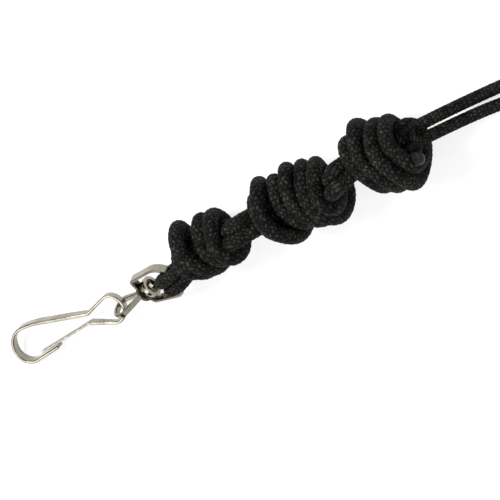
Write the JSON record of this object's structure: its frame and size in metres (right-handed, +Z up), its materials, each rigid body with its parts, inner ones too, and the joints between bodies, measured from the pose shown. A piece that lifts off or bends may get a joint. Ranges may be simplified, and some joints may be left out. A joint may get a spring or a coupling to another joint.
{
  "type": "call lanyard",
  "caption": "Knotted braided-cord lanyard end with a sprung strip hook that turns on a swivel eye and bow, its neck cord put up in a hank in line with it.",
  "frame": {"origin": "on the table under the middle of the hook, swivel and knots", "axes": "+X from the hook towards the neck cord, +Y across, +Z up"},
  "size_m": [0.3078, 0.032, 0.0251],
  "materials": {
    "cord": "tightly braided, slight sheen",
    "melted_end": "melted and set, glossy",
    "tie": "matte",
    "nickel": "bright nickel plate, slightly warm"
  },
  "bodies": {
    "cord": {"knot_1": "cord", "knot_2": "cord", "knot_3": "cord", "cord_bight": "cord", "link_cords_1": "cord", "link_cords_2": "cord", "sealed_end": "melted_end", "neck_cord_out": "cord", "neck_cord_back": "cord", "neck_cord_coil": "cord", "coil_tie": "tie"},
    "bow": {"swivel_bow": "nickel"},
    "swivel": {"swivel_eye": "nickel", "swivel_collar": "nickel"},
    "hook": {"snap_hook": "nickel"},
    "gate": {"spring_gate": "nickel"}
  },
  "joints": [
    {"name": "bow_swing", "type": "hinge", "parent": "cord", "child": "bow", "pos_m": [-0.01787, -0.0033, 0.00915], "axis": [-0.1501, 0.8387, 0.5235], "range_deg": [-20, 20]},
    {"name": "swivel_spin", "type": "hinge", "parent": "bow", "child": "swivel", "pos_m": [-0.03397, -0.0033, 0.00453], "axis": [-0.9865, -0.1386, -0.0872], "continuous": true},
    {"name": "hook_swing", "type": "hinge", "parent": "swivel", "child": "hook", "pos_m": [-0.04755, -0.00325, 0.00393], "axis": [-0.0337, -0.2588, 0.9653], "range_deg": [-25, 25]},
    {"name": "gate_open", "type": "hinge", "parent": "hook", "child": "gate", "pos_m": [-0.05673, -0.00402, 0.0034], "axis": [0.0337, 0.2588, -0.9653], "range_deg": [0, 12], "stiffness_Nm_per_rad": 0.12}
  ]
}
